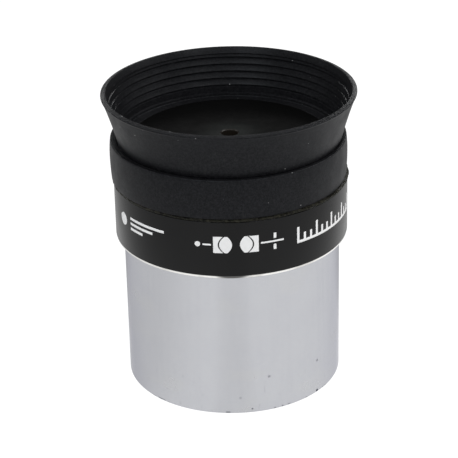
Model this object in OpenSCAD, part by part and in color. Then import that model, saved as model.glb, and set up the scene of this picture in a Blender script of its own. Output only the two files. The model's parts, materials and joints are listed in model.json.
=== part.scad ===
// Telescope eyepiece of about 4 mm focal length, for a 31.75 mm focuser.
// All sizes are in millimetres. +Z runs along the optical axis towards the eye.
// The origin is on the axis, at the barrel's open end.

/* [Barrel] */
// Outside diameter of the barrel, which the focuser holds
barrel_od = 31.75; // [26:0.05:40]
// Length of the barrel, from its open end to the shoulder
barrel_len = 22.5; // [17:0.1:32]
// Wall left between the barrel's outside and the root of its threads
thread_wall = 1.625; // [1.2:0.005:2.1]
// How much the plain bore between the two threads is narrower than they are
bore_step = 0.45; // [0.3:0.05:0.8]
// Depth of the filter thread at the open end
filter_depth = 4.5; // [3:0.1:6]
// Pitch of the thread that joins the barrel to the housing
thread_pitch = 0.6; // [0.5:0.05:0.75]
// Whole turns that unscrew the housing from the barrel
thread_turns = 8; // [5:1:10]
// Small chamfer on the turned edges of the barrel
barrel_edge = 0.3; // [0.1:0.05:0.5]

/* [Housing] */
// How far the housing stands out past the barrel
shoulder_step = 1.175; // [0.7:0.005:2.4]
// Height of the housing's bare outside wall
body_height = 8.8; // [7:0.1:12]
// Depth of the recess under the shoulder that the barrel's top edge seats in
recess_depth = 0.3; // [0.2:0.05:0.5]
// Bright chamfer round the housing's lower edge
body_chamfer = 0.3; // [0.1:0.05:0.6]
// How far the eyecup seat is turned down below the housing's outside
seat_step = 0.8; // [0.6:0.05:1.1]
// Height of the eyecup seat
seat_height = 5.2; // [4.6:0.1:7]
// Depth of the groove that holds the eyecup's bead
groove_depth = 0.65; // [0.4:0.05:0.9]
// Height of that groove
groove_height = 2.0; // [1.2:0.1:2.6]
// Height of the groove above the foot of the seat
groove_rise = 1.7; // [1:0.1:2]
// Width of the rim that the eyecup's flange covers
rim_width = 2.05; // [1.4:0.05:3]
// Height of the flat eye face above that rim
boss_height = 0.9; // [0.6:0.05:1.2]
// Wall of the screwed spigot below the shoulder
spigot_wall = 1.7; // [1.1:0.05:2.4]
// Thickness of the housing from the eye face to the hollow below it
crown_thickness = 8.4; // [6:0.1:9]
// Metal left between the eye face and the top of the lens cell
face_thickness = 0.9; // [0.6:0.05:1.3]
// Diameter of the low cone in the middle of the eye face
eye_cone_d = 12.4; // [8:0.1:20]
// Height of that cone
eye_cone_rise = 0.35; // [0.1:0.05:0.6]
// Diameter of the eye hole
eye_hole_d = 2.4; // [2:0.1:3.6]
// Chamfer round the eye hole
eye_hole_chamfer = 0.15; // [0.1:0.05:0.4]

/* [Eyecup] */
// How far the collar's edges stand out past the housing
collar_stand = 0.07; // [0.03:0.01:0.4]
// Crown of the collar between its two edges
collar_bulge = 0.15; // [0.05:0.01:0.4]
// Gap between the housing's wall and the foot of the collar
collar_foot_gap = 0.1; // [0.05:0.05:0.3]
// Height of the moulding flash round the foot of the collar
flash_height = 0.2; // [0.1:0.05:0.4]
// Width of that flash past the collar's edge
flash_width = 0.15; // [0.05:0.01:0.2]
// Thickness of the flange that lies on the housing's rim
flange_thickness = 0.75; // [0.5:0.05:0.95]
// Depth of the flange's top below the collar's edge
flange_sink = 0.3; // [0.1:0.05:0.8]
// Width of the ledge between the collar's edge and the skirt
ledge_width = 0.82; // [0.4:0.01:1.2]
// Height of the flared skirt, from the collar to the lip
skirt_height = 5.6; // [4.5:0.1:9]
// How much the skirt's outside widens from its foot to the lip
skirt_flare = 1.65; // [1:0.05:2.6]
// How far the skirt's outside bows in from a straight flare
skirt_bow = 0.075; // [0:0.005:0.2]
// Wall of the skirt
skirt_wall = 0.65; // [0.5:0.05:0.9]
// Number of rib grooves inside the skirt
rib_count = 5; // [2:1:8]
// Depth of each rib groove
rib_depth = 0.12; // [0.05:0.01:0.2]
// Height of the lowest rib groove above the foot of the skirt
rib_foot = 1.2; // [0.8:0.05:1.6]
// Depth of the highest rib groove below the lip
rib_head = 0.3; // [0.25:0.05:0.6]
// Width of the lip's overhang past the skirt
lip_overhang = 0.45; // [0.2:0.05:0.8]
// Height of the lip
lip_height = 1.35; // [1:0.05:2]
// Width of the rounded edges of the lip
lip_round = 0.3; // [0.15:0.05:0.4]
// Height of the upright edge of the lip, below its rounded top
lip_edge = 0.25; // [0.1:0.05:0.5]

/* [Optics] */
// Outside diameter of the lens cell
cell_od = 9.0; // [7.4:0.1:11]
// Diameter of all four lens elements
lens_d = 4.4; // [3.6:0.1:5.2]
// Radius of the crown elements' outer surfaces
crown_radius = 3.58; // [3.2:0.01:4.4]
// Radius of the cemented surfaces
cement_radius = 4.93; // [4.2:0.01:6]
// Thickness of a crown element at its centre
crown_centre = 2.0; // [1.8:0.05:2.8]
// Thickness of a flint element at its centre
flint_centre = 0.7; // [0.5:0.05:1.2]
// Air gap between the two doublets at their centres
air_gap = 0.3; // [0.1:0.05:0.6]
// Thickness of the cement between two elements
cement_gap = 0.01; // [0.005:0.005:0.02]
// Thickness of the cell's lip over the eye lens
cell_lip = 0.3; // [0.2:0.05:0.5]
// How far the lips, the spacer and the retainer reach in over a lens's edge
lens_hold = 0.35; // [0.2:0.05:0.5]
// Wall that the retainer's thread takes out of the cell, past the lens bore
retainer_step = 0.4; // [0.3:0.05:0.8]
// Thickness of the lens retainer
retainer_height = 0.8; // [0.5:0.05:1.1]
// Width of the retainer's two spanner slots
slot_width = 0.5; // [0.3:0.05:0.8]
// Depth of those slots
slot_depth = 0.3; // [0.2:0.05:0.4]
// Distance from the field lens down to the field stop
back_focus = 2.15; // [1.8:0.01:3]
// Diameter of the field stop's opening
field_stop_d = 3.7; // [2.6:0.1:3.9]
// Thickness of the field stop
stop_height = 0.6; // [0.4:0.05:0.8]
// Land left at the edge of the field stop
stop_land = 0.1; // [0.05:0.05:0.2]
// Length of the cell below the field stop
cell_tail = 0.45; // [0.2:0.05:0.8]

/* [Fits] */
// Radial clearance of the screwed joints
thread_fit = 0.05; // [0.02:0.01:0.1]
// Radial clearance of the eyecup on its seat
eyecup_fit = 0.05; // [0.02:0.01:0.1]
// Radial clearance of the parts inside the housing
optics_fit = 0.03; // [0.01:0.01:0.05]
// Spare depth past the end of a screwed joint
thread_spare = 0.2; // [0.1:0.05:0.4]

/* [Hidden] */
$fn = 128;

// Steps along each curved outline
curve_steps = 8;
// Extra length by which a cut runs past the solid it cuts
overcut = 1;

// Radii, from the barrel's outside inwards
barrel_r = barrel_od / 2;
thread_r = barrel_r - thread_wall;
bore_r = thread_r - bore_step;
recess_r = barrel_r + thread_fit;
spigot_r = thread_r - thread_fit;
hollow_r = spigot_r - spigot_wall;

// Radii of the housing and its eyecup seat
body_r = barrel_r + shoulder_step;
seat_r = body_r - seat_step;
groove_r = seat_r - groove_depth;
boss_r = seat_r - rim_width;
eye_hole_r = eye_hole_d / 2;
cell_r = cell_od / 2;

// Heights of the housing
spigot_len = thread_turns * thread_pitch + thread_spare;
socket_len = spigot_len + thread_spare;
z_shoulder = barrel_len;
z_barrel_top = z_shoulder + recess_depth;
z_spigot = z_barrel_top - spigot_len;
z_socket = z_barrel_top - socket_len;
z_seat = z_shoulder + body_height;
z_groove = z_seat + groove_rise;
z_rim = z_seat + seat_height;
z_face = z_rim + boss_height;
z_eye = z_face + eye_cone_rise;
z_crown = z_face - crown_thickness;
z_cell_top = z_face - face_thickness;

// Radii and heights of the eyecup
collar_r = body_r + collar_stand;
collar_bore_r = seat_r + eyecup_fit;
z_collar = z_seat + collar_foot_gap;
z_flange = z_rim + eyecup_fit;
z_flange_top = z_flange + flange_thickness;
z_ledge = z_flange_top + flange_sink;
skirt_r = collar_r - ledge_width;
lip_r = skirt_r + skirt_flare;
z_lip = z_ledge + skirt_height;
bulge_half_height = (z_ledge - z_collar - flash_height) / 2;
bulge_r = collar_bulge / 2 + pow(bulge_half_height, 2) / (2 * collar_bulge);

// Radii and heights of the optics, from the eye lens down
lens_r = lens_d / 2;
lens_bore_r = lens_r + optics_fit;
hold_r = lens_r - lens_hold;
retainer_bore_r = lens_bore_r + retainer_step;
retainer_r = retainer_bore_r - optics_fit;
z_eye_glass = z_cell_top - cell_lip;
doublet_centre = flint_centre + crown_centre;
z_middle = z_eye_glass - doublet_centre - air_gap / 2;
z_field_glass = z_middle - air_gap / 2 - doublet_centre;
z_stop = z_field_glass - back_focus;
z_cell = z_stop - stop_height - cell_tail;
cement_sag = cement_radius - sqrt(pow(cement_radius, 2) - pow(lens_r, 2));
spacer_sag = crown_radius - sqrt(pow(crown_radius, 2) - pow(hold_r, 2));

// Radius of the skirt's outside at a share of its height
function skirt_outside(share) =
    skirt_r + skirt_flare * share - 4 * skirt_bow * share * (1 - share);

// Radius of the skirt's inside at the same share, a straight taper
function skirt_inside(share) = skirt_r - skirt_wall + (skirt_flare - lip_round / 4) * share;

// Points of a shallow arc that bulges outwards between two heights at one radius
function bulge_points(edge_r, low, high) = [
    for (step = [0 : curve_steps])
        let (z = low + (high - low) * step / curve_steps, from_middle = z - (low + high) / 2)
            [edge_r + collar_bulge - bulge_r + sqrt(pow(bulge_r, 2) - pow(from_middle, 2)), z]
];

module turned(outline) {
    rotate_extrude() polygon(outline);
}

// Plain tube between two heights
module tube(inner_r, outer_r, low, high) {
    turned([[inner_r, low], [outer_r, low], [outer_r, high], [inner_r, high]]);
}

// Chromed nose: filter thread below, plain bore, housing thread above
module barrel() {
    color("silver")
        turned([
            [thread_r, 0],
            [barrel_r - barrel_edge, 0],
            [barrel_r, barrel_edge],
            [barrel_r, z_barrel_top - barrel_edge],
            [barrel_r - barrel_edge, z_barrel_top],
            [thread_r, z_barrel_top],
            [thread_r, z_socket],
            [bore_r, z_socket],
            [bore_r, filter_depth],
            [thread_r, filter_depth]
        ]);
}

// Black metal body: screwed spigot, shoulder, eyecup seat, eye face and bore for the lens cell
module housing() {
    color("dimgray")
        turned([
            [hollow_r, z_spigot],
            [spigot_r - barrel_edge, z_spigot],
            [spigot_r, z_spigot + barrel_edge],
            [spigot_r, z_barrel_top],
            [recess_r, z_barrel_top],
            [recess_r, z_shoulder],
            [body_r - body_chamfer, z_shoulder],
            [body_r, z_shoulder + body_chamfer],
            [body_r, z_seat],
            [seat_r, z_seat],
            [seat_r, z_groove],
            [groove_r, z_groove],
            [groove_r, z_groove + groove_height],
            [seat_r, z_groove + groove_height],
            [seat_r, z_rim],
            [boss_r, z_rim],
            [boss_r, z_face],
            [eye_cone_d / 2, z_face],
            [eye_hole_r + eye_hole_chamfer, z_eye],
            [eye_hole_r, z_eye - eye_hole_chamfer],
            [eye_hole_r, z_cell_top],
            [cell_r + optics_fit, z_cell_top],
            [cell_r + optics_fit, z_crown],
            [hollow_r, z_crown]
        ]);
}

// Rubber band round the seat, with its bead in the groove and its flange on the rim
module eyecup_collar() {
    color("black")
        turned(concat(
            [
                [collar_bore_r, z_collar],
                [collar_r + flash_width, z_collar],
                [collar_r + flash_width, z_collar + flash_height]
            ],
            bulge_points(collar_r, z_collar + flash_height, z_ledge),
            [
                [skirt_r - skirt_wall, z_ledge],
                [skirt_r - skirt_wall, z_flange_top],
                [boss_r + eyecup_fit, z_flange_top],
                [boss_r + eyecup_fit, z_flange],
                [collar_bore_r, z_flange],
                [collar_bore_r, z_groove + groove_height - eyecup_fit],
                [groove_r + eyecup_fit, z_groove + groove_height - eyecup_fit],
                [groove_r + eyecup_fit, z_groove + eyecup_fit],
                [collar_bore_r, z_groove + eyecup_fit]
            ]
        ));
}

// Thin flared wall that folds, ribbed inside
module eyecup_skirt() {
    rib_pitch = (skirt_height - rib_foot - rib_head) / (rib_count - 1);
    color("black")
        difference() {
            turned(concat(
                [[skirt_inside(0), z_ledge]],
                [
                    for (step = [0 : curve_steps])
                        [skirt_outside(step / curve_steps), z_ledge + skirt_height * step / curve_steps]
                ],
                [[skirt_inside(1), z_lip]]
            ));
            for (rib = [0 : rib_count - 1])
                let (rise = rib_foot + rib * rib_pitch)
                    rotate_extrude()
                        translate([skirt_inside(rise / skirt_height), z_ledge + rise])
                            circle(r = rib_depth, $fn = 32);
        }
}

// Rounded rim that meets the face
module eyecup_lip() {
    rim_r = lip_r + lip_overhang;
    z_top = z_lip + lip_height;
    color("black")
        turned([
            [skirt_inside(1), z_lip],
            [lip_r, z_lip],
            [rim_r, z_top - lip_round - lip_edge],
            [rim_r, z_top - lip_round],
            [rim_r - lip_round, z_top],
            [skirt_inside(1) + lip_round, z_top],
            [skirt_inside(1) + lip_round / 2, z_top - lip_round / 2]
        ]);
}

// Tube that carries the lenses, with a lip over the eye lens and a wider thread below
module lens_cell() {
    color("dimgray")
        turned([
            [retainer_bore_r, z_cell],
            [cell_r, z_cell],
            [cell_r, z_cell_top],
            [hold_r, z_cell_top],
            [hold_r, z_eye_glass],
            [lens_bore_r, z_eye_glass],
            [lens_bore_r, z_field_glass],
            [retainer_bore_r, z_field_glass]
        ]);
}

// Flat outside, hollow inside, seen with its flat face up at z = 0
module flint_element() {
    difference() {
        translate([0, 0, -flint_centre - cement_sag]) cylinder(h = flint_centre + cement_sag, r = lens_r);
        translate([0, 0, -flint_centre - cement_radius]) sphere(r = cement_radius);
    }
}

// Two bulging faces, under the flint element in the same frame
module crown_element() {
    intersection() {
        translate([0, 0, -doublet_centre]) cylinder(h = crown_centre, r = lens_r);
        translate([0, 0, -flint_centre - cement_gap - cement_radius]) sphere(r = cement_radius);
        translate([0, 0, -doublet_centre + crown_radius]) sphere(r = crown_radius);
    }
}

module eye_flint_lens() {
    color("lightblue") translate([0, 0, z_eye_glass]) flint_element();
}

module eye_crown_lens() {
    color("lightcyan") translate([0, 0, z_eye_glass]) crown_element();
}

module field_crown_lens() {
    color("lightcyan") translate([0, 0, z_field_glass]) mirror([0, 0, 1]) crown_element();
}

module field_flint_lens() {
    color("lightblue") translate([0, 0, z_field_glass]) mirror([0, 0, 1]) flint_element();
}

// Ring that keeps the two doublets apart, touching each crown with its inner edge
module lens_spacer() {
    half_height = air_gap / 2 + spacer_sag;
    color("dimgray") tube(hold_r, lens_r, z_middle - half_height, z_middle + half_height);
}

// Screwed ring that presses the stack against the cell's lip, with two spanner slots
module lens_retainer() {
    z_low = z_field_glass - retainer_height;
    color("dimgray")
        difference() {
            tube(hold_r, retainer_r, z_low, z_field_glass);
            translate([-retainer_r - overcut, -slot_width / 2, z_low - overcut])
                cube([2 * (retainer_r + overcut), slot_width, slot_depth + overcut]);
        }
}

// Thin-edged ring at the focus, which cuts the edge of the view sharp
module field_stop() {
    stop_r = field_stop_d / 2;
    bevel = retainer_r - stop_r - stop_land;
    z_low = z_stop - stop_height;
    color("dimgray")
        turned([
            [stop_r, z_stop - stop_land],
            [stop_r, z_stop],
            [retainer_r, z_stop],
            [retainer_r, z_low],
            [stop_r + bevel / 2, z_low]
        ]);
}

barrel();
housing();
eyecup_collar();
eyecup_skirt();
eyecup_lip();
lens_cell();
eye_flint_lens();
eye_crown_lens();
lens_spacer();
field_crown_lens();
field_flint_lens();
lens_retainer();
field_stop();
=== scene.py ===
"""A telescope eyepiece standing on its barrel: chromed nose, black body, rubber eyecup and four lenses."""
import json
import math

import bmesh
import bpy
from mathutils import Matrix, Vector, noise


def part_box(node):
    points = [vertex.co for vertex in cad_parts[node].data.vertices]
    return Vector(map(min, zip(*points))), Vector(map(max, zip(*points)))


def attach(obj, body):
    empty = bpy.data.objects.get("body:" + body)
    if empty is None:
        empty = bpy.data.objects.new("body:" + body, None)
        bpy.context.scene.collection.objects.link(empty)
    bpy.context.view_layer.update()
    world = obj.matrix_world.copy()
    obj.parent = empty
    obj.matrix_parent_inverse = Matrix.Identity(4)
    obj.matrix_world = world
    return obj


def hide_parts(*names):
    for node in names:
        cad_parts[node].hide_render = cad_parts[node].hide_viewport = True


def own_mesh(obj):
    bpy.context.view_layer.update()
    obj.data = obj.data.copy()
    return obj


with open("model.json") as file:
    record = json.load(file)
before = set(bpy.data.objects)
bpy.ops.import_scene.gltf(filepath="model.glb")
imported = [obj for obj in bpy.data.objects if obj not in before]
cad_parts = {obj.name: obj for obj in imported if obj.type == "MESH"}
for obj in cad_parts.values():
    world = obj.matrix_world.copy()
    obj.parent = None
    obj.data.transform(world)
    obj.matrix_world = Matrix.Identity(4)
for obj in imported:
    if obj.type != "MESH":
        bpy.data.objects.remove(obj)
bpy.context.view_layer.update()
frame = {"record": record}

MM = 0.001
SEGMENTS = 256
SHARP_ANGLE = math.radians(28)
MERGE_DISTANCE = 1e-7


# ---------------------------------------------------------------- sizes taken from the frame

def low_z(node):
    """Height of a CAD node's lowest point."""
    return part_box(node)[0].z


def high_z(node):
    """Height of a CAD node's highest point."""
    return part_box(node)[1].z


def outer_r(node):
    """Outer radius of a CAD node, which is round about Z."""
    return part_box(node)[1].x


def mount(name):
    """One of the record's mounts."""
    return next(m for m in frame["record"]["mounts"] if m["name"] == name)


BARREL_R = outer_r("barrel")
BARREL_TOP = high_z("barrel")
SHOULDER_Z = mount("shoulder")["pos_m"][2]
THREAD_R = mount("filter_thread")["dims"]["r_mm"] * MM
FILTER_DEPTH = mount("filter_thread")["dims"]["length_mm"] * MM
BODY_R = outer_r("housing")
SPIGOT_Z = low_z("housing")
COLLAR_FOOT = low_z("eyecup_collar")
LEDGE_Z = high_z("eyecup_collar")
FLASH_R = outer_r("eyecup_collar")
SKIRT_TOP = high_z("eyecup_skirt")
LIP_TOP = high_z("eyecup_lip")
RIM_R = outer_r("eyecup_lip") - 0.01 * MM

# Sizes that the frame's boxes don't give
FIT_PLAY = 0.05 * MM
THREAD_PLAY = 0.03 * MM
THREAD_PITCH = 0.6 * MM
THREAD_DEPTH = 0.541 * THREAD_PITCH
BORE_R = THREAD_R - 0.45 * MM
SPIGOT_R = THREAD_R - FIT_PLAY
HOLLOW_R = SPIGOT_R - 1.7 * MM
SOCKET_Z = SPIGOT_Z - 0.2 * MM
SEAT_R = BODY_R - 0.8 * MM
SEAT_Z = COLLAR_FOOT - 0.1 * MM
RIM_Z = SEAT_Z + 5.2 * MM
BOSS_R = SEAT_R - 2.05 * MM
EYE_Z = high_z("housing")
FACE_Z = EYE_Z - 0.35 * MM
EYE_CONE_R = 6.2 * MM
EYE_HOLE_R = 1.2 * MM
EYE_HOLE_CHAMFER = 0.15 * MM
CELL_TOP = FACE_Z - 0.9 * MM
CROWN_Z = FACE_Z - 8.4 * MM
COLLAR_R = BODY_R + 0.07 * MM
COLLAR_BULGE = 0.15 * MM
FLASH_TOP = COLLAR_FOOT + 0.2 * MM
FLASH_TORN_WIDTH = 0.32 * MM
FLASH_GAP = 0.14 * MM
COLLAR_SHIFT = 0.21 * MM
FLANGE_TOP = LEDGE_Z - 0.3 * MM
SKIRT_R = COLLAR_R - 0.82 * MM
SKIRT_WALL = 0.65 * MM
SKIRT_FLARE = 1.65 * MM
SKIRT_BOW = 0.075 * MM
RIB_FOOT = 1.2 * MM
RIB_HEAD = 0.3 * MM
RIB_COUNT = 5
RIB_DEPTH = 0.34 * MM


# ---------------------------------------------------------------- material nodes

# Most of a noise lies between these two values
NOISE_LOW, NOISE_HIGH = 0.3, 0.7


class Paint:
    """A material's node tree around one Principled shader, with object coordinates in metres."""

    def __init__(self, name, **sockets):
        self.material = bpy.data.materials.new(name)
        self.material.use_nodes = True
        self.tree = self.material.node_tree
        self.shader = next(n for n in self.tree.nodes if n.type == "BSDF_PRINCIPLED")
        self.put(self.shader, sockets)
        self.object = self.node("ShaderNodeTexCoord").outputs["Object"]

    def put(self, node, values):
        """Set a node's inputs, each to a value or to another node's output."""
        for key, value in values.items():
            socket = node.inputs[key]
            if isinstance(value, bpy.types.NodeSocket):
                self.tree.links.new(value, socket)
            else:
                socket.default_value = value

    def node(self, kind, values=None, **settings):
        """A new node with these settings and input values."""
        made = self.tree.nodes.new(kind)
        for key, value in settings.items():
            setattr(made, key, value)
        self.put(made, values or {})
        return made

    def math(self, operation, *values):
        """The result of a Math node."""
        return self.node("ShaderNodeMath", dict(enumerate(values)), operation=operation).outputs[0]

    def noise(self, size, detail=2.0, roughness=0.5, vector=None):
        """Smooth noise from 0 to 1 with features of about that size in metres."""
        made = self.node("ShaderNodeTexNoise", {
            "Vector": self.object if vector is None else vector,
            "Scale": 1 / size, "Detail": detail, "Roughness": roughness})
        return made.outputs["Fac"]

    def band(self, value, low, high, to_low=0.0, to_high=1.0):
        """A value mapped smoothly from one range to another, and held outside it."""
        made = self.node("ShaderNodeMapRange", {
            "Value": value, "From Min": low, "From Max": high,
            "To Min": to_low, "To Max": to_high}, interpolation_type="SMOOTHSTEP")
        return made.outputs["Result"]

    def spread(self, noise, to_low, to_high):
        """A noise's usual range mapped to the range given."""
        return self.band(noise, NOISE_LOW, NOISE_HIGH, to_low, to_high)

    def mix(self, share, first, second):
        """The first colour at share 0, the second at share 1. The mix node's colours are inputs 6 and 7."""
        return self.node("ShaderNodeMix", {0: share, 6: first, 7: second}, data_type="RGBA").outputs[2]

    def tinted(self, mask, strength, colour, tint):
        """A colour turned towards a tint where the mask is, by that strength."""
        return self.mix(self.math("MULTIPLY", mask, strength), colour, tint)

    def stretched(self, along_x=1.0, along_y=1.0, along_z=1.0):
        """Object coordinates scaled along each axis, so that noise on them comes out stretched."""
        made = self.node("ShaderNodeMapping", {"Vector": self.object, "Scale": (along_x, along_y, along_z)})
        return made.outputs["Vector"]

    def axes(self):
        """The three object coordinates."""
        return self.node("ShaderNodeSeparateXYZ", {"Vector": self.object}).outputs

    def radius(self):
        """Distance from the Z axis."""
        x, y, _ = self.axes()
        return self.math("SQRT", self.math("ADD", self.math("MULTIPLY", x, x), self.math("MULTIPLY", y, y)))

    def lathe_lines(self, size):
        """Fine rings about the axis, as a lathe tool leaves, on walls and on flat faces alike."""
        along = self.math("ADD", self.axes()[2], self.radius())
        made = self.node("ShaderNodeTexNoise", {"W": along, "Scale": 1 / size, "Detail": 2.0},
                         noise_dimensions="1D")
        return made.outputs["Fac"]

    def specks(self, cell, size, share):
        """Small round dots, one in some of the cells of that size."""
        made = self.node("ShaderNodeTexVoronoi", {
            "Vector": self.object, "Scale": 1 / cell, "Randomness": 1.0})
        draw = self.node("ShaderNodeSeparateColor", {"Color": made.outputs["Color"]}).outputs[0]
        chosen = self.math("LESS_THAN", draw, share)
        near = self.band(made.outputs["Distance"], 0.5 * size / cell, size / cell, 1.0, 0.0)
        return self.math("MULTIPLY", chosen, near)

    def bump(self, height, depth, strength=1.0, under=None):
        """A bumped normal, on top of another one where it is given."""
        values = {"Height": height, "Distance": depth, "Strength": strength}
        if under is not None:
            values["Normal"] = under
        return self.node("ShaderNodeBump", values).outputs["Normal"]


def grey(level):
    """A colour with that level in all three channels."""
    return (level, level, level, 1.0)


def rubber():
    """Moulded black rubber: soft mottle, fine grain, dust specks and faint rub marks."""
    p = Paint("black_rubber", **{
        "Specular IOR Level": 0.13, "IOR": 1.5, "Specular Tint": (0.91, 0.95, 1.0, 1)})
    mottle = p.noise(2.4 * MM, 4.0, 0.6)
    patches = p.noise(0.45 * MM, 3.0, 0.55)
    fine = p.noise(0.2 * MM, 3.0, 0.62)
    dust = p.math("MAXIMUM", p.specks(3.0 * MM, 0.19 * MM, 0.2), p.specks(1.2 * MM, 0.1 * MM, 0.3))
    rubs = p.band(p.noise(1.1 * MM, 3.0, 0.6, p.stretched(1.0, 1.0, 0.3)), 0.64, 0.72)
    colour = p.mix(mottle, (0.0024, 0.0025, 0.003, 1), (0.0046, 0.0047, 0.0056, 1))
    colour = p.tinted(p.band(patches, 0.4, 0.72), 0.5, colour, (0.014, 0.014, 0.016, 1))
    colour = p.tinted(p.band(fine, 0.4, 0.7), 0.5, colour, (0.02, 0.02, 0.022, 1))
    colour = p.tinted(rubs, 0.2, colour, grey(0.03))
    colour = p.tinted(dust, 0.85, colour, grey(0.26))
    unevenness = p.math("ADD", p.math("MULTIPLY", mottle, 0.6), p.math("MULTIPLY", fine, 0.4))
    roughness = p.spread(unevenness, 0.37, 0.5)
    normal = p.bump(fine, 0.013 * MM, 0.7)
    normal = p.bump(mottle, 0.03 * MM, 0.5, normal)
    p.put(p.shader, {"Base Color": colour, "Roughness": roughness, "Normal": normal})
    return p.material


def rough_flash():
    """The torn, shadowed skin of rubber that the mould left round the collar's foot."""
    p = Paint("moulding_flash", **{"Specular IOR Level": 0.1, "IOR": 1.5})
    tears = p.band(p.noise(0.5 * MM, 4.0, 0.7), 0.35, 0.7)
    p.put(p.shader, {
        "Base Color": p.mix(tears, (0.0008, 0.0008, 0.0006, 1), (0.032, 0.031, 0.022, 1)),
        "Roughness": p.spread(tears, 0.35, 0.6),
        "Normal": p.bump(tears, 0.05 * MM, 0.7)})
    return p.material


def anodised():
    """Satin black anodising: lathe rings under it, a faint cloudiness and a few specks."""
    p = Paint("black_anodised", **{"Specular IOR Level": 0.18, "IOR": 1.5})
    rings = p.lathe_lines(0.05 * MM)
    cloud = p.noise(3.0 * MM, 3.0, 0.55)
    fine = p.noise(0.05 * MM, 2.0, 0.5)
    colour = p.mix(cloud, (0.004, 0.004, 0.0042, 1), (0.006, 0.006, 0.0062, 1))
    colour = p.mix(p.specks(3.2 * MM, 0.04 * MM, 0.1), colour, grey(0.12))
    roughness = p.spread(cloud, 0.17, 0.22)
    normal = p.bump(rings, 0.0006 * MM, 0.5)
    normal = p.bump(fine, 0.0008 * MM, 0.5, normal)
    p.put(p.shader, {"Base Color": colour, "Roughness": roughness, "Normal": normal})
    return p.material


def eye_face_black():
    """Matt black on the eye face, with a painted highlight round the hole: a dull grey base colour that fades
    outwards, standing in for reflected light. A little dust too.
    """
    p = Paint("eye_face_black", **{"Specular IOR Level": 0.06, "IOR": 1.5})
    rings = p.lathe_lines(0.08 * MM)
    cloud = p.noise(2.0 * MM, 3.0, 0.55)
    # Painted highlight: the base colour turns dull grey near the hole and fades to black by about 7.6 mm out,
    # in place of light reflected off the face.
    reach = p.math("ADD", p.radius(), p.math("MULTIPLY", cloud, 1.2 * MM))
    painted_glow = p.math("POWER", p.band(reach, 1.6 * MM, 7.6 * MM, 1.0, 0.0), 1.4)
    colour = p.mix(painted_glow, grey(0.0014), (0.0125, 0.0138, 0.0132, 1))
    colour = p.tinted(p.specks(1.8 * MM, 0.05 * MM, 0.12), 0.8, colour, grey(0.1))
    p.put(p.shader, {
        "Base Color": colour,
        "Roughness": p.spread(cloud, 0.5, 0.6),
        "Normal": p.bump(rings, 0.002 * MM, 0.6)})
    return p.material


def hole_bronze():
    """The wall of the eye hole, cut through the black to a dull bronze."""
    p = Paint("eye_hole_bronze", **{"Specular IOR Level": 0.25, "IOR": 1.5})
    rings = p.lathe_lines(0.06 * MM)
    p.put(p.shader, {
        "Base Color": p.mix(rings, (0.006, 0.0045, 0.003, 1), (0.013, 0.01, 0.007, 1)),
        "Roughness": p.spread(rings, 0.35, 0.5),
        "Normal": p.bump(rings, 0.002 * MM, 0.6)})
    return p.material


def polished_cut():
    """The bright cut on the body's lower edge, tarnished in places, with a painted dark reflection at the
    very front.
    """
    p = Paint("polished_cut", Metallic=1.0)
    rings = p.lathe_lines(0.04 * MM)
    tarnish = p.band(p.noise(3.5 * MM, 3.0, 0.55), 0.4, 0.66)
    # Painted reflection: the mask below turns the base colour nearly black over a narrow stretch at the very
    # front of the cut, standing in for a dark reflection.
    front = p.band(p.axes()[1], 0.05 * MM - BODY_R, 0.24 * MM - BODY_R, 1.0, 0.0)
    base = p.mix(rings, (0.88, 0.87, 0.84, 1), (0.95, 0.94, 0.92, 1))
    base = p.tinted(tarnish, 0.55, base, (0.5, 0.49, 0.46, 1))
    base = p.tinted(front, 0.9, base, grey(0.03))
    p.put(p.shader, {
        "Base Color": base,
        "Roughness": p.spread(p.noise(1.5 * MM), 0.06, 0.1),
        "Normal": p.bump(rings, 0.0003 * MM, 0.4)})
    return p.material


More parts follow.
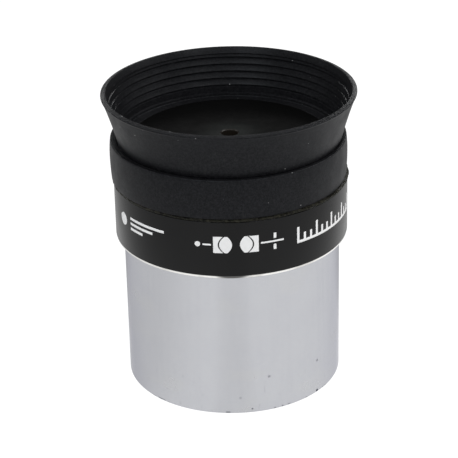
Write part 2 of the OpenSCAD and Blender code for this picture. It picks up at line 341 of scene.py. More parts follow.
def chrome():
    """Chrome plate: mottle, faint streaks, rub marks low down, pits at the lower right, a chipped foot."""
    p = Paint("chrome", **{"Metallic": 1.0, "Specular Tint": (0.72, 0.72, 0.76, 1)})
    x, _, z = p.axes()
    cloud = p.noise(4.0 * MM, 4.0, 0.55)
    streaks = p.noise(0.9 * MM, 3.0, 0.55, p.stretched(1.0, 1.0, 0.05))
    patches = p.noise(0.5 * MM, 3.0, 0.6, p.stretched(0.7, 0.7, 1.4))
    grain = p.noise(0.16 * MM, 3.0, 0.6, p.stretched(1.0, 1.0, 2.2))
    rings = p.lathe_lines(0.06 * MM)
    smudge = p.band(p.noise(6.0 * MM, 2.0, 0.5, p.stretched(0.7, 0.7, 1.5)), 0.54, 0.68)
    wall = p.band(p.radius(), BARREL_R - 0.2 * MM, BARREL_R - 0.1 * MM)
    low = p.math("MULTIPLY", p.band(z, 2.0 * MM, 8.5 * MM, 1.0, 0.0), wall)
    right = p.math("MULTIPLY", p.band(x, 0.0, 2.5 * MM), low)
    scuffs = p.noise(0.8 * MM, 3.0, 0.62, p.stretched(1.5, 1.5, 0.5))
    rubs = p.math("MULTIPLY", p.band(scuffs, 0.62, 0.72), low)
    pits = p.math("MULTIPLY", p.specks(2.4 * MM, 0.3 * MM, 0.6), right)
    foot = p.math("MULTIPLY", p.band(z, 0.15 * MM, 0.6 * MM, 1.0, 0.0), wall)
    chips = p.math("MULTIPLY", p.band(p.noise(1.1 * MM, 3.0), 0.6, 0.65), foot)
    marks = p.math("MAXIMUM", pits, chips)
    base = p.mix(cloud, (0.515, 0.522, 0.554, 1), (0.566, 0.572, 0.596, 1))
    base = p.tinted(p.band(streaks, 0.42, 0.68), 0.12, base, (0.46, 0.465, 0.5, 1))
    base = p.tinted(p.band(patches, 0.35, 0.7), 0.09, base, (0.64, 0.645, 0.66, 1))
    base = p.tinted(p.band(grain, 0.35, 0.7), 0.18, base, (0.62, 0.625, 0.65, 1))
    base = p.tinted(smudge, 0.16, base, (0.62, 0.62, 0.6, 1))
    base = p.tinted(rubs, 0.3, base, (0.36, 0.37, 0.39, 1))
    base = p.mix(marks, base, (0.05, 0.05, 0.075, 1))
    polish = p.spread(cloud, 0.15, 0.21)
    worn = p.math("ADD", p.math("MULTIPLY", smudge, 0.08), p.math("MULTIPLY", marks, 0.3))
    normal = p.bump(rings, 0.0005 * MM, 0.35)
    normal = p.bump(cloud, 0.01 * MM, 0.2, normal)
    p.put(p.shader, {"Base Color": base, "Roughness": p.math("ADD", polish, worn), "Normal": normal})
    return p.material


def matt_black():
    """Grainy matt black paint, on what the light mustn't bounce off."""
    p = Paint("matt_black_paint", **{"Specular IOR Level": 0.3})
    grain = p.noise(0.09 * MM, 3.0, 0.6)
    cloud = p.noise(2.0 * MM, 3.0)
    p.put(p.shader, {
        "Base Color": p.mix(cloud, grey(0.014), grey(0.024)),
        "Roughness": p.spread(cloud, 0.62, 0.75),
        "Normal": p.bump(grain, 0.008 * MM, 0.6)})
    return p.material


def blackened():
    """Chemically blackened brass: dark, satin, with fine turning rings."""
    p = Paint("blackened_brass", Metallic=1.0)
    rings = p.lathe_lines(0.05 * MM)
    cloud = p.noise(1.0 * MM, 3.0, 0.55)
    p.put(p.shader, {
        "Base Color": p.mix(cloud, (0.055, 0.053, 0.052, 1), (0.085, 0.082, 0.08, 1)),
        "Roughness": p.spread(cloud, 0.34, 0.44),
        "Normal": p.bump(rings, 0.001 * MM, 0.6)})
    return p.material


def white_ink():
    """Thick white printing ink, a little uneven in tone and gloss."""
    p = Paint("white_ink", **{"Specular IOR Level": 0.3})
    cloud = p.noise(0.6 * MM, 3.0)
    grain = p.noise(0.06 * MM, 2.0)
    p.put(p.shader, {
        "Base Color": p.mix(cloud, grey(0.76), grey(0.86)),
        "Roughness": p.spread(cloud, 0.45, 0.6),
        "Normal": p.bump(grain, 0.003 * MM, 0.5)})
    return p.material


def coated_glass(name, tint, ior):
    """Polished glass under a tinted coating, with a little dust."""
    p = Paint(name, **{
        "Transmission Weight": 1.0, "IOR": ior, "Roughness": 0.02,
        "Coat Weight": 0.35, "Coat Roughness": 0.03, "Coat Tint": tint})
    dust = p.specks(0.8 * MM, 0.02 * MM, 0.1)
    p.put(p.shader, {
        "Base Color": p.mix(dust, (0.97, 0.985, 0.98, 1), grey(0.6)),
        "Roughness": p.spread(p.noise(1.2 * MM), 0.01, 0.03)})
    return p.material


# How brightly the floor glows, by direction from the object, and the room above it
FLOOR_DIM, FLOOR_BRIGHT = 0.75, 0.89
FLOOR_BEHIND = 0.62
FLOOR_FRONT_STRIP = 0.92
ROOM_LIGHT = 0.10


def floor_white():
    """A glowing table top, plain white to the camera and clear from below.

    What the object gets from it, as light and as reflection, depends on the direction: it is strongest at the
    front right, a little weaker in a narrow strip at the very front, and weakest behind.
    """
    p = Paint("floor_white", **{"Base Color": grey(0.1), "Roughness": 0.7, "Specular IOR Level": 0.0})
    flat = p.node("ShaderNodeVectorMath", {0: p.object, 1: (1.0, 1.0, 0.0)}, operation="MULTIPLY")
    way = p.node("ShaderNodeVectorMath", {0: flat.outputs[0]}, operation="NORMALIZE").outputs[0]

    def along(azimuth):
        """Cosine of the angle from that azimuth. Azimuth 0 is in front, and 90 is to the right."""
        a = math.radians(azimuth)
        made = p.node("ShaderNodeVectorMath", {0: way, 1: (math.sin(a), -math.cos(a), 0.0)},
                      operation="DOT_PRODUCT")
        return made.outputs["Value"]

    side = p.band(along(50), -0.6, 0.35, FLOOR_DIM, FLOOR_BRIGHT)
    behind = p.band(along(178), 0.45, 0.95, 1.0, FLOOR_BEHIND)
    strip = p.band(along(0), 0.96, 0.998, 1.0, FLOOR_FRONT_STRIP)
    glow = p.math("MULTIPLY", p.math("MULTIPLY", side, strip), behind)
    seen = p.node("ShaderNodeLightPath").outputs["Is Camera Ray"]
    shown = p.node("ShaderNodeMapRange", {"Value": seen, "To Min": glow, "To Max": 1.0})
    p.put(p.shader, {"Emission Color": grey(1.0), "Emission Strength": shown.outputs["Result"]})
    below = p.node("ShaderNodeNewGeometry").outputs["Backfacing"]
    clear = p.node("ShaderNodeBsdfTransparent").outputs[0]
    split = p.node("ShaderNodeMixShader", {0: below, 1: p.shader.outputs[0], 2: clear}).outputs[0]
    out = next(n for n in p.tree.nodes if n.type == "OUTPUT_MATERIAL")
    p.tree.links.new(split, out.inputs["Surface"])
    return p.material


RUBBER = rubber()
FLASH = rough_flash()
ANODISED = anodised()
EYE_FACE = eye_face_black()
EYE_HOLE = hole_bronze()
POLISHED = polished_cut()
CHROME = chrome()
MATT_BLACK = matt_black()
BLACKENED = blackened()
WHITE_INK = white_ink()
CROWN_GLASS = coated_glass("coated_crown_glass", (0.75, 1.0, 0.82, 1), 1.517)
FLINT_GLASS = coated_glass("coated_flint_glass", (0.85, 0.72, 1.0, 1), 1.648)


# ---------------------------------------------------------------- turned pieces

def rounded(corners, steps=5):
    """Outline points (r, z) from corners (r, z) or (r, z, fillet), with each fillet an arc."""
    points = []
    for i, corner in enumerate(corners):
        here = Vector(corner[:2])
        fillet = corner[2] if len(corner) > 2 else 0.0
        if not fillet or i in (0, len(corners) - 1):
            points.append(tuple(here))
            continue
        back = (Vector(corners[i - 1][:2]) - here).normalized()
        on = (Vector(corners[i + 1][:2]) - here).normalized()
        half = back.angle(on) / 2
        reach = fillet / math.tan(half)
        centre = here + (back + on).normalized() * fillet / math.sin(half)
        start, end = here + back * reach - centre, here + on * reach - centre
        sweep = start.angle_signed(end)
        for step in range(steps + 1):
            turn = Matrix.Rotation(-sweep * step / steps, 2)
            points.append(tuple(centre + turn @ start))
    return points


class Turning:
    """A solid of revolution about Z, made of walls that meet at their end rings."""

    def __init__(self):
        self.mesh = bmesh.new()
        self.materials = []

    def slot_of(self, material):
        """Index of a material among the solid's own."""
        if material not in self.materials:
            self.materials.append(material)
        return self.materials.index(material)

    def ring(self, r, z):
        """Points once round at a radius and height, or the one point on the axis repeated."""
        if r < MERGE_DISTANCE:
            return [self.mesh.verts.new((0.0, 0.0, z))] * SEGMENTS
        turns = (2 * math.pi * i / SEGMENTS for i in range(SEGMENTS))
        return [self.mesh.verts.new((r * math.cos(t), r * math.sin(t), z)) for t in turns]

    def wall(self, outline, material):
        """Quads between rings at the outline's points."""
        index = self.slot_of(material)
        rings = [self.ring(r, z) for r, z in outline]
        for low, high in zip(rings, rings[1:]):
            for i in range(SEGMENTS):
                j = (i + 1) % SEGMENTS
                corners = list(dict.fromkeys((low[i], low[j], high[j], high[i])))
                if len(corners) > 2:
                    self.mesh.faces.new(corners).material_index = index

    def thread(self, root_r, z_low, z_high, depth, material, pitch=THREAD_PITCH):
        """A right-hand helical thread between two rings at root_r. A negative depth points inwards."""
        index = self.slot_of(material)
        profile = ((0.0, 1.0), (0.125, 1.0), (0.4375, 0.0), (0.6875, 0.0))
        run_out = 0.6 * pitch
        turns = math.ceil((z_high - z_low) / pitch) + 1
        rows = []
        for turn in range(-1, turns):
            for phase, height in profile:
                row = []
                for i in range(SEGMENTS + 1):
                    share = i / SEGMENTS
                    z = min(max(z_low + (turn + phase + share) * pitch, z_low), z_high)
                    room = min(z - z_low, z_high - z) / run_out
                    r = root_r + depth * height * min(1.0, room)
                    angle = 2 * math.pi * share
                    row.append(self.mesh.verts.new((r * math.cos(angle), r * math.sin(angle), z)))
                rows.append(row)
        for low, high in zip(rows, rows[1:]):
            for i in range(SEGMENTS):
                self.mesh.faces.new((low[i], low[i + 1], high[i + 1], high[i])).material_index = index

    def piece(self, name, body, nodes, reshape=None):
        """The walls joined into one closed solid. reshape moves each of its points."""
        bmesh.ops.remove_doubles(self.mesh, verts=self.mesh.verts, dist=MERGE_DISTANCE)
        bmesh.ops.dissolve_degenerate(self.mesh, edges=self.mesh.edges, dist=MERGE_DISTANCE)
        if reshape:
            for vertex in self.mesh.verts:
                vertex.co = reshape(vertex.co)
        bmesh.ops.recalc_face_normals(self.mesh, faces=self.mesh.faces)
        return finished(self.mesh, name, self.materials, body, nodes)


def finished(mesh, name, materials, body, nodes=()):
    """The object made of a bmesh, smooth but for its sharp edges, riding on its body."""
    data = bpy.data.meshes.new(name)
    mesh.to_mesh(data)
    mesh.free()
    for material in materials:
        data.materials.append(material)
    data.polygons.foreach_set("use_smooth", [True] * len(data.polygons))
    data.set_sharp_from_angle(angle=SHARP_ANGLE)
    made = bpy.data.objects.new(name, data)
    bpy.context.scene.collection.objects.link(made)
    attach(made, body)
    if nodes:
        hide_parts(*nodes)
    return made


def make_barrel():
    """The chromed nose: threads at both ends inside, a matt black bore between them."""
    edge = 0.3 * MM
    t = Turning()
    outline = rounded([
        (THREAD_R, 0.0), (BARREL_R - edge, 0.0, 0.12 * MM), (BARREL_R, edge, 0.25 * MM),
        (BARREL_R, BARREL_TOP - edge, 0.2 * MM), (BARREL_R - edge, BARREL_TOP, 0.1 * MM),
        (THREAD_R, BARREL_TOP)])
    t.wall(outline, CHROME)
    t.thread(THREAD_R, 0.0, FILTER_DEPTH, -THREAD_DEPTH, CHROME)
    t.wall([
        (THREAD_R, FILTER_DEPTH), (BORE_R, FILTER_DEPTH),
        (BORE_R, SOCKET_Z), (THREAD_R, SOCKET_Z)], MATT_BLACK)
    t.thread(THREAD_R, SOCKET_Z, BARREL_TOP, -THREAD_DEPTH, CHROME)
    t.piece("barrel_tube", "barrel_body", ["barrel"])


def make_housing():
    """The black body: screwed spigot, recess, bright chamfer, eyecup seat, eye face and cell bore."""
    root_r = SPIGOT_R - THREAD_DEPTH
    chamfer = 0.3 * MM
    groove_z = SEAT_Z + 1.7 * MM
    groove_top = groove_z + 2.0 * MM
    groove_r = SEAT_R - 0.65 * MM
    # The thread starts at this height, which puts its ridges level with the barrel's and not half a pitch off
    relief = 0.35 * MM
    recess_r = BARREL_R + FIT_PLAY
    polish_top = SHOULDER_Z + 0.5 * MM
    face_cone_fillet = 45 * MM
    hole_top_r = EYE_HOLE_R + EYE_HOLE_CHAMFER
    cell_bore_r = outer_r("lens_cell") + THREAD_PLAY
    t = Turning()
    t.wall([(HOLLOW_R, SPIGOT_Z), (root_r, SPIGOT_Z), (root_r, SPIGOT_Z + relief)], ANODISED)
    t.thread(root_r, SPIGOT_Z + relief, BARREL_TOP - relief, THREAD_DEPTH, ANODISED)
    t.wall(rounded([
        (root_r, BARREL_TOP - relief), (root_r, BARREL_TOP, 0.1 * MM), (recess_r, BARREL_TOP),
        (recess_r, SHOULDER_Z), (BODY_R - chamfer, SHOULDER_Z)]), ANODISED)
    t.wall(rounded([
        (BODY_R - chamfer, SHOULDER_Z), (BODY_R - 0.09 * MM, SHOULDER_Z + 0.12 * MM, 0.35 * MM),
        (BODY_R, polish_top)]), POLISHED)
    t.wall(rounded([
        (BODY_R, polish_top), (BODY_R, SEAT_Z, 0.12 * MM), (SEAT_R, SEAT_Z, 0.1 * MM),
        (SEAT_R, groove_z), (groove_r, groove_z), (groove_r, groove_top), (SEAT_R, groove_top),
        (SEAT_R, RIM_Z, 0.1 * MM), (BOSS_R, RIM_Z)]), ANODISED)
    t.wall(rounded([
        (BOSS_R, RIM_Z), (BOSS_R, FACE_Z, 0.2 * MM), (EYE_CONE_R, FACE_Z, face_cone_fillet),
        (hole_top_r, EYE_Z)], steps=10), EYE_FACE)
    t.wall(rounded([
        (hole_top_r, EYE_Z), (EYE_HOLE_R, EYE_Z - EYE_HOLE_CHAMFER, 0.1 * MM),
        (EYE_HOLE_R, CELL_TOP)]), EYE_HOLE)
    t.wall([(EYE_HOLE_R, CELL_TOP), (cell_bore_r, CELL_TOP), (cell_bore_r, CROWN_Z)], MATT_BLACK)
    t.wall(rounded([
        (cell_bore_r, CROWN_Z), (HOLLOW_R, CROWN_Z, 0.6 * MM), (HOLLOW_R, SPIGOT_Z)]), MATT_BLACK)
    t.piece("housing_body_turned", "housing_body", ["housing"])


def settled(co):
    """The collar's band sits a little to the left of its flash, which is torn to uneven widths."""
    out = Vector(co)
    r = math.hypot(co.x, co.y)
    if r < SEAT_R + 0.3 * MM:
        return out
    if co.z < FLASH_TOP - 0.01 * MM:
        angle = math.atan2(co.y, co.x)

        def unevenness(waves, start):
            """Noise round the ring from 0 to 1. More waves make it finer."""
            return 0.5 + 0.5 * noise.noise((waves * math.cos(angle), waves * math.sin(angle), start))

        share = 0.1 + 0.75 * unevenness(9, 0.0) + 0.65 * unevenness(30, 5.0)
        width = FLASH_TORN_WIDTH * min(1.0, max(0.3, share))
        out.x *= (FLASH_R - FLASH_TORN_WIDTH + width) / r
        out.y *= (FLASH_R - FLASH_TORN_WIDTH + width) / r
    else:
        out.x -= COLLAR_SHIFT
    return out


def make_collar():
    """The rubber band on the seat, bulging a little, with moulding flash round its foot."""
    bore_r = SEAT_R + FIT_PLAY
    groove_z = SEAT_Z + 1.75 * MM
    groove_top = groove_z + 1.9 * MM
    bead_r = SEAT_R - 0.6 * MM
    flange_z = RIM_Z + FIT_PLAY
    flange_r = BOSS_R + FIT_PLAY
    inner_r = SKIRT_R - SKIRT_WALL
    low, high = FLASH_TOP + FLASH_GAP, LEDGE_Z
    band_r = COLLAR_R - 0.03 * MM
    gap_r = band_r - 0.15 * MM
    gap_foot = FLASH_TOP - 0.02 * MM
    crease_r = SKIRT_R - 0.05 * MM
    crease_z = LEDGE_Z - 0.35 * MM
    steps = 14
    bulge = []
    for step in range(steps + 1):
        share = step / steps
        bulge.append((band_r + COLLAR_BULGE * 4 * share * (1 - share) * (0.7 + 0.6 * share),
                      low + (high - low) * share))
    t = Turning()
    t.wall(rounded([
        (bore_r, COLLAR_FOOT), (FLASH_R, COLLAR_FOOT, 0.03 * MM),
        (FLASH_R, FLASH_TOP - 0.05 * MM, 0.03 * MM), (gap_r, gap_foot)]), FLASH)
    t.wall([(gap_r, gap_foot), (gap_r, low)], FLASH)
    t.wall(rounded([(gap_r, low), (bulge[0][0], low, 0.1 * MM), bulge[1]]), RUBBER)
    t.wall(bulge[1:-1], RUBBER)
    t.wall(rounded([
        bulge[-2], (band_r, LEDGE_Z, 0.16 * MM), (SKIRT_R + 0.25 * MM, LEDGE_Z, 0.1 * MM),
        (SKIRT_R + 0.1 * MM, crease_z, 0.05 * MM), (crease_r, crease_z),
        (crease_r, LEDGE_Z), (inner_r, LEDGE_Z)]), RUBBER)
    t.wall(rounded([
        (inner_r, LEDGE_Z), (inner_r, FLANGE_TOP, 0.12 * MM), (flange_r, FLANGE_TOP, 0.1 * MM),
        (flange_r, flange_z), (bore_r, flange_z), (bore_r, groove_top),
        (bead_r, groove_top, 0.2 * MM), (bead_r, groove_z, 0.2 * MM), (bore_r, groove_z),
        (bore_r, COLLAR_FOOT)]), RUBBER)
    t.piece("eyecup_band", "eyecup_base", ["eyecup_collar"], settled)


def skirt_outside(share):
    """Radius of the skirt's outer wall, from its foot at share 0 to its top at 1."""
    return SKIRT_R + SKIRT_FLARE * share - 4 * SKIRT_BOW * share * (1 - share)


def skirt_inside(share):
    """Radius of the ribs' crests on the skirt's inner wall."""
    return SKIRT_R - SKIRT_WALL + (SKIRT_FLARE - 0.075 * MM) * share


def rib_swell(share):
    """How far a rib stands out of the wall, from one groove to the next: sharp below, softer above."""
    foot, head = (share - 0.11) / 0.06, (1 - share) / 0.16
    return min(1.0, max(0.0, foot)) * min(1.0, head) * (0.62 + 0.38 * (1 - share) ** 2)


def make_skirt():
    """The flared wall, smooth outside and ribbed inside."""
    height = SKIRT_TOP - LEDGE_Z
    pitch = (height - RIB_FOOT - RIB_HEAD) / (RIB_COUNT - 1)
    outside_steps, rib_steps = 24, 24
    t = Turning()
    t.wall([(skirt_outside(s / outside_steps), LEDGE_Z + height * s / outside_steps)
            for s in range(outside_steps + 1)], RUBBER)
    foot_r = skirt_inside(RIB_FOOT / height)
    inside = [(skirt_inside(0.0), LEDGE_Z), (skirt_inside(0.0), LEDGE_Z + 0.1 * MM),
              (foot_r - 0.06 * MM, LEDGE_Z + 0.25 * MM), (foot_r, LEDGE_Z + RIB_FOOT - 0.15 * MM)]
    for rib in range(RIB_COUNT):
        groove_z = LEDGE_Z + RIB_FOOT + rib * pitch
        for step in range(rib_steps + 1):
            share = step / rib_steps
            z = min(groove_z + pitch * share, SKIRT_TOP)
            depth = RIB_DEPTH * (1 - rib_swell(share))
            inside.append((skirt_inside((z - LEDGE_Z) / height) + depth, z))
    t.wall(inside, RUBBER)
    t.wall([inside[0], (skirt_outside(0.0), LEDGE_Z)], RUBBER)
    t.wall([inside[-1], (skirt_outside(1.0), SKIRT_TOP)], RUBBER)
    made = t.piece("eyecup_cone", "eyecup_base", ["eyecup_skirt"])
    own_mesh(made)


def make_lip():
    """The thin flared rim that meets the face: its top slopes down a little to the outer edge."""
    wall_r = skirt_outside(1.0)
    inner = skirt_inside(1.0) + 0.05 * MM
    t = Turning()
    t.wall(rounded([
        (inner, SKIRT_TOP), (wall_r, SKIRT_TOP), (RIM_R - 0.12 * MM, LIP_TOP - 0.5 * MM, 0.5 * MM),
        (RIM_R, LIP_TOP - 0.34 * MM, 0.1 * MM), (RIM_R, LIP_TOP - 0.22 * MM, 0.08 * MM),
        (inner + 0.42 * MM, LIP_TOP, 0.12 * MM), (inner + 0.34 * MM, LIP_TOP - 0.2 * MM, 0.15 * MM),
        (inner - 0.02 * MM, LIP_TOP - 0.98 * MM, 0.06 * MM),
        (inner + 0.1 * MM, LIP_TOP - 1.08 * MM, 0.05 * MM), (inner, SKIRT_TOP)]), RUBBER)
    t.piece("eyecup_rim", "lip_body", ["eyecup_lip"])


# ---------------------------------------------------------------- optics

LENS_R = outer_r("eye_crown_lens")
CEMENT_R = 4.93 * MM
CROWN_R = 3.58 * MM
LENS_BEVEL = 0.06 * MM
FLINT_DEPTH = 0.7 * MM
PAIR_DEPTH = 2.7 * MM
CEMENT_GAP = 0.01 * MM
HOLD_R = LENS_R - 0.35 * MM
STOP_R = 1.85 * MM
RETAINER_R = outer_r("lens_retainer")


def dome(vertex_z, radius, reach, steps=12):
    """Points of a spherical face from the axis out to a radius. A positive radius curves up at the edge."""
    points = []
    for step in range(steps + 1):
        r = reach * step / steps
        points.append((r, vertex_z + radius - math.copysign(math.sqrt(radius ** 2 - r ** 2), radius)))
    return points


def make_lens(name, node, face, other_face, glass):
    """A lens between two faces, bevelled at both edges, with a blackened rim."""
    bevel = math.copysign(LENS_BEVEL, other_face[-1][1] - face[-1][1])
    rim = (LENS_R, face[-1][1] + bevel)
    other_rim = (LENS_R, other_face[-1][1] - bevel)
    t = Turning()
    t.wall(face, glass)
    t.wall([face[-1], rim], glass)
    t.wall([rim, other_rim], MATT_BLACK)
    t.wall([other_rim, other_face[-1]], glass)
    t.wall(other_face, glass)
    t.piece(name, "housing_body", [node])


def make_lenses():
    """Two cemented pairs, with their flat flint sides outwards and their crowns facing each other."""
    reach = LENS_R - LENS_BEVEL
    flat_steps = 4
    eye_z, field_z = high_z("eye_flint_lens"), low_z("field_flint_lens")
    for side, flat_z, way in (("eye", eye_z, -1), ("field", field_z, 1)):
        flat = [(reach * s / flat_steps, flat_z) for s in range(flat_steps + 1)]
        cement_z = flat_z + way * FLINT_DEPTH
        cement = dome(cement_z, way * CEMENT_R, reach)
        crown_top = dome(cement_z + way * CEMENT_GAP, way * CEMENT_R, reach)
        crown = dome(flat_z + way * PAIR_DEPTH, -way * CROWN_R, reach)
        make_lens(f"{side}_flint", f"{side}_flint_lens", flat, cement, FLINT_GLASS)
        make_lens(f"{side}_crown", f"{side}_crown_lens", crown_top, crown, CROWN_GLASS)


def make_ring(name, node, corners):
    """A small matt black ring with the outline given."""
    t = Turning()
    t.wall(rounded(corners + [corners[0]]), MATT_BLACK)
    t.piece(name, "housing_body", [node])


def make_cell():
    """The blackened tube that carries the lenses, threaded inside below them."""
    low, high = low_z("lens_cell"), high_z("lens_cell")
    cell_r = outer_r("lens_cell")
    chamfer = 0.3 * MM
    bore_r = LENS_R + THREAD_PLAY
    wide_r = RETAINER_R + THREAD_PLAY
    step_z = high_z("lens_retainer")
    glass_z = high_z("eye_flint_lens")
    # The rings that sit in this thread are plain, so its ridges run into them
    fine_pitch, fine_depth = 0.35 * MM, 0.15 * MM
    t = Turning()
    t.wall(rounded([
        (wide_r, low), (cell_r - chamfer, low, 0.1 * MM), (cell_r, low + chamfer, 0.1 * MM),
        (cell_r, high, 0.1 * MM), (HOLD_R, high), (HOLD_R, glass_z), (bore_r, glass_z),
        (bore_r, step_z), (wide_r, step_z)]), BLACKENED)
    t.thread(wide_r, low, step_z, -fine_depth, BLACKENED, fine_pitch)
    t.piece("cell_tube", "housing_body", ["lens_cell"])


def make_retainer():
    """The ring under the field lens, with a spanner slot across its lower side."""
    low, high = low_z("lens_retainer"), high_z("lens_retainer")
    slot_depth, half_slot = 0.3 * MM, 0.25 * MM
    levels = (low, low + slot_depth, high)
    land_steps, slot_steps = 60, 4
    mesh = bmesh.new()

    def column(r, side, step):
        """Points at the three levels, that many steps on from the end of one of the two slots."""
        edge = math.asin(half_slot / r)
        if step <= land_steps:
            angle = edge + (math.pi - 2 * edge) * step / land_steps
        else:
            angle = math.pi - edge + 2 * edge * (step - land_steps) / slot_steps
        angle += math.pi * side
        return [mesh.verts.new((r * math.cos(angle), r * math.sin(angle), z)) for z in levels]

    columns = []
    for side in (0, 1):
        for step in range(land_steps + slot_steps):
            pair = [column(r, side, step) for r in (HOLD_R, RETAINER_R)]
            columns.append((*pair, step < land_steps))
    for here, there in zip(columns, columns[1:] + columns[:1]):
        inner, outer, land = here
        next_inner, next_outer, next_land = there
        foot = 0 if land else 1
        for wall, next_wall in ((inner, next_inner), (outer, next_outer)):
            for k in range(foot, 2):
                mesh.faces.new((wall[k], next_wall[k], next_wall[k + 1], wall[k + 1]))
        for k in (foot, 2):
            mesh.faces.new((inner[k], outer[k], next_outer[k], next_inner[k]))
        if land != next_land:
            mesh.faces.new((next_inner[0], next_outer[0], next_outer[1], next_inner[1]))
    unused = [v for v in mesh.verts if not v.link_faces]
    bmesh.ops.delete(mesh, geom=unused, context="VERTS")
    bmesh.ops.recalc_face_normals(mesh, faces=mesh.faces)
    finished(mesh, "retainer_ring", [BLACKENED], "housing_body", ["lens_retainer"])


def make_optics():
    """Everything inside the body."""
    make_lenses()
    make_cell()
    make_retainer()
    low, high = low_z("lens_spacer"), high_z("lens_spacer")
    make_ring("spacer_ring", "lens_spacer", [
        (HOLD_R, low), (LENS_R, low, 0.05 * MM), (LENS_R, high, 0.05 * MM), (HOLD_R, high)])
    low, high = low_z("field_stop"), high_z("field_stop")
    knife = 0.1 * MM
    make_ring("stop_ring", "field_stop", [
        (STOP_R + 0.3 * MM, low), (RETAINER_R, low, 0.05 * MM), (RETAINER_R, high, 0.05 * MM),
        (STOP_R, high), (STOP_R, high - knife)])


# ---------------------------------------------------------------- printed marks

INK_WIDTH = 0.4 * MM
FINE_INK = 0.26 * MM
INK_HEIGHT = 0.012 * MM
INK_STEP = 0.12 * MM
MARK_LOW = SHOULDER_Z + 4.1 * MM
MARK_HIGH = SHOULDER_Z + 6.6 * MM
MARK_MIDDLE = (MARK_LOW + MARK_HIGH) / 2


def resampled(points):
    """The same line with points at most one ink step apart."""
    made = [Vector(points[0])]
    for a, b in zip(points, points[1:]):
        a, b = Vector(a), Vector(b)
        count = max(1, math.ceil((b - a).length / INK_STEP))
        made += [a.lerp(b, i / count) for i in range(1, count + 1)]
    return made


def across(back, here, on):
    """Direction of a line's half width at a point, lengthened at a corner so that the width stays."""
    first = (here - back).normalized() if here != back else (on - here).normalized()
    second = (on - here).normalized() if on != here else first
    along = (first + second).normalized()
    side = Vector((-along.y, along.x))
    return side / max(0.5, side.dot(Vector((-first.y, first.x))))


def ink_point(mesh, x, z, lift):
    """A point on the body's wall, x round it from the front and z high, that stands out by lift."""
    angle, r = x / BODY_R - math.pi / 2, BODY_R + lift
    return mesh.verts.new((r * math.cos(angle), r * math.sin(angle), z))


def closed_strip(mesh, rows):
    """A closed shell along rows of points. Each row goes once round the strip's section."""
    for a, b in zip(rows, rows[1:]):
        for k in range(len(a)):
            on = (k + 1) % len(a)
            mesh.faces.new((a[k], a[on], b[on], b[k]))
    mesh.faces.new(rows[0])
    mesh.faces.new(rows[-1])


def stroke(mesh, points, width=INK_WIDTH):
    """A flat line of ink on the body's wall. Points are (distance round the wall, height)."""
    section = ((-1.0, 0.0), (-0.85, INK_HEIGHT), (0.85, INK_HEIGHT), (1.0, 0.0))
    line = resampled(points)
    rows = []
    for i, here in enumerate(line):
        side = across(line[max(i - 1, 0)], here, line[min(i + 1, len(line) - 1)]) * width / 2
        row = []
        for share, lift in section:
            p = here + side * share
            row.append(ink_point(mesh, p.x, p.y, lift))
        rows.append(row)
    closed_strip(mesh, rows)


def bow(x, low, high, depth, steps=16):
    """A vertical arc from low to high whose middle stands off by depth to the right."""
    middle, half = (low + high) / 2, (high - low) / 2
    shares = (2 * i / steps - 1 for i in range(steps + 1))
    return [(x + depth * (1 - s * s), middle + half * s) for s in shares]


def at(degrees):
    """Distance round the wall of a place that many degrees to the right of the front."""
    return math.radians(degrees) * BODY_R


def patch(mesh, left, right):
    """A filled shape between two lines with as many points each. Points are as in stroke."""
    top = [(share, INK_HEIGHT) for share in (0.06, 0.35, 0.65, 0.94)]
    section = [(0.0, 0.0), *top, (1.0, 0.0)]
    rows = []
    for (x0, z0), (x1, z1) in zip(left, right):
        rows.append([ink_point(mesh, x0 + (x1 - x0) * share, z0 + (z1 - z0) * share, lift)
                     for share, lift in section])
    closed_strip(mesh, rows)


def draw_dot(mesh, x, dot_r):
    """A filled round dot on the marks' middle line."""
    steps, sweep = 12, 0.94 * math.pi
    turns = (sweep * (i / steps - 0.5) for i in range(steps + 1))
    right = [(x + dot_r * math.cos(a), MARK_MIDDLE + dot_r * math.sin(a)) for a in turns]
    left = [(2 * x - there, z) for there, z in right]
    patch(mesh, left, right)


def draw_bars(mesh):
    """A round dot, with three bars of different lengths beside it."""
    draw_dot(mesh, at(-64.5), 0.95 * MM)
    start, gap = -57.5, 0.8 * MM
    for place, end in ((1, -34), (0, -41), (-1, -48)):
        z = MARK_MIDDLE + place * gap
        stroke(mesh, [(at(start), z), (at(end), z)])


def draw_doublet(mesh, x, way):
    """A cemented pair in section, filled: hollow flint with its flat side at x, then the bulging crown."""
    gap, hollow = 0.2 * MM, 0.75 * MM
    flint_edge, crown_edge, crown_bulge = 1.4 * MM, 0.4 * MM, 0.65 * MM
    start = x + way * (flint_edge + gap)

    def side(place, depth):
        """One side of a lens, from the marks' lower to their upper end."""
        return bow(place, MARK_LOW, MARK_HIGH, depth)

    patch(mesh, side(x, 0.0), side(x + way * flint_edge, -way * hollow))
    patch(mesh, side(start, -way * hollow), side(start + way * crown_edge, way * crown_bulge))


def draw_section(mesh):
    """The eyepiece's own optics in section: eye point, two pairs of lenses and the field stop."""
    eye, first_flat, second_flat, stop, end = (at(place) for place in (-16.5, -9.0, 12.5, 20.5, 25))
    stop_length = 0.8 * MM
    draw_dot(mesh, eye, 0.4 * MM)
    draw_doublet(mesh, first_flat, 1)
    draw_doublet(mesh, second_flat, -1)
    stroke(mesh, [(stop, MARK_LOW), (stop, MARK_LOW + stop_length)])
    stroke(mesh, [(stop, MARK_HIGH - stop_length), (stop, MARK_HIGH)])
    for low, high in ((eye + 0.75 * MM, first_flat - 0.3 * MM), (second_flat + 0.3 * MM, end)):
        stroke(mesh, [(low, MARK_MIDDLE), (high, MARK_MIDDLE)], FINE_INK)


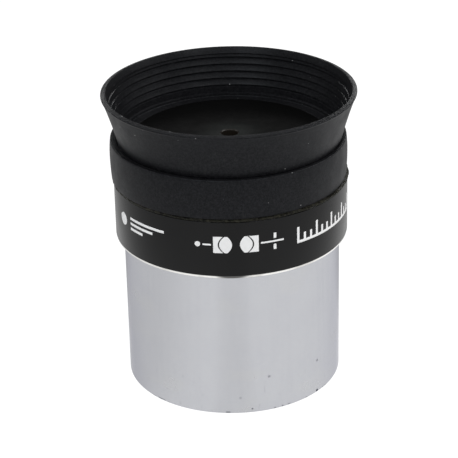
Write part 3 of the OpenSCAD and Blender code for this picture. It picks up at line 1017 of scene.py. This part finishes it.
def draw_scale(mesh):
    """A plain scale: a base line with ticks, longer at every third place."""
    first, pitch, count = 33.0, 3.9, 13
    half = INK_WIDTH / 2
    base_z = MARK_LOW + half
    stroke(mesh, [(at(first) - half, base_z), (at(first + pitch * (count - 1)) + half, base_z)])
    for tick in range(count):
        top = MARK_HIGH if tick % 3 == 0 else MARK_MIDDLE + 0.2 * MM
        x = at(first + pitch * tick)
        stroke(mesh, [(x, base_z + half), (x, top)])


def make_print():
    """White marks round the body, with no lettering."""
    mesh = bmesh.new()
    draw_bars(mesh)
    draw_section(mesh)
    draw_scale(mesh)
    bmesh.ops.recalc_face_normals(mesh, faces=mesh.faces)
    finished(mesh, "body_print", [WHITE_INK], "housing_body")


# ---------------------------------------------------------------- studio

def make_floor():
    """A square table top. It is part of the studio and not of the object."""
    half = 2.0
    mesh = bmesh.new()
    corners = ((-half, -half), (half, -half), (half, half), (-half, half))
    mesh.faces.new([mesh.verts.new((x, y, 0.0)) for x, y in corners])
    data = bpy.data.meshes.new("floor")
    mesh.to_mesh(data)
    mesh.free()
    data.materials.append(floor_white())
    floor = bpy.data.objects.new("floor", data)
    bpy.context.scene.collection.objects.link(floor)


def make_softbox(name, azimuth, elevation, distance, size, radiance, tint=(1.0, 1.0, 1.0)):
    """A soft rectangular light aimed at the eyecup. Azimuth 0 is in front, and 90 is to the right."""
    aim = Vector((0.0, 0.0, 0.7 * LIP_TOP))
    a, e = math.radians(azimuth), math.radians(elevation)
    towards = Vector((math.sin(a) * math.cos(e), -math.cos(a) * math.cos(e), math.sin(e)))
    data = bpy.data.lights.new(name, "AREA")
    data.shape = "RECTANGLE"
    data.size, data.size_y = size
    data.energy = radiance * math.pi * size[0] * size[1]
    data.color = tint
    lamp = bpy.data.objects.new(name, data)
    lamp.location = aim + towards * distance
    lamp.rotation_mode = "QUATERNION"
    lamp.rotation_quaternion = (-towards).to_track_quat("-Z", "Y")
    bpy.context.scene.collection.objects.link(lamp)


def make_world():
    """A dim room that the camera sees as plain white."""
    world = bpy.data.worlds.new("studio")
    world.use_nodes = True
    nodes, links = world.node_tree.nodes, world.node_tree.links
    room = next(n for n in nodes if n.type == "BACKGROUND")
    room.inputs["Color"].default_value = grey(1.0)
    rays = nodes.new("ShaderNodeLightPath").outputs["Is Camera Ray"]
    seen = nodes.new("ShaderNodeMapRange")
    links.new(rays, seen.inputs["Value"])
    seen.inputs["To Min"].default_value = ROOM_LIGHT
    seen.inputs["To Max"].default_value = 1.0
    links.new(seen.outputs["Result"], room.inputs["Strength"])
    bpy.context.scene.world = world


def make_camera():
    """The photograph's view: from a little above, nearly square on, with a slight roll."""
    distance, elevation, roll = 0.2823, math.radians(25.2), math.radians(1.3)
    aim = Vector((-0.0004, 0.0, 0.0223))
    ahead = Vector((0.0, math.cos(elevation), -math.sin(elevation)))
    right = Vector((1.0, 0.0, 0.0))
    up = right.cross(ahead)
    rolled_right = right * math.cos(roll) - up * math.sin(roll)
    rolled_up = right * math.sin(roll) + up * math.cos(roll)
    data = bpy.data.cameras.new("camera")
    data.sensor_width = 36.0
    data.lens = 149.9
    data.clip_start, data.clip_end = 0.01, 10.0
    camera = bpy.data.objects.new("camera", data)
    turn = Matrix((rolled_right, rolled_up, -ahead)).transposed().to_4x4()
    camera.matrix_world = Matrix.Translation(aim - ahead * distance) @ turn
    bpy.context.scene.collection.objects.link(camera)
    bpy.context.scene.camera = camera


make_camera()
make_world()
make_floor()
make_softbox("back_softbox", 180, 36, 0.6, (0.24, 0.14), 2.0)
make_softbox("top_softbox", 180, 62, 0.6, (0.4, 0.12), 2.2)
make_softbox("left_softbox", -24, 42, 0.5, (0.18, 0.2), 9.0, (0.94, 0.97, 1.0))
make_softbox("right_softbox", 33, 40, 0.5, (0.18, 0.2), 6.0)
make_softbox("right_side_softbox", 98, 36, 0.5, (0.26, 0.2), 7.0)
make_softbox("left_side_softbox", -98, 36, 0.5, (0.26, 0.2), 3.0)
make_softbox("back_left_softbox", 202, 19, 0.6, (0.12, 0.08), 7.0)
make_softbox("back_right_softbox", 158, 19, 0.6, (0.12, 0.08), 9.0)
make_barrel()
make_housing()
make_collar()
make_skirt()
make_lip()
make_optics()
make_print()

bpy.context.scene.view_settings.view_transform = "Standard"
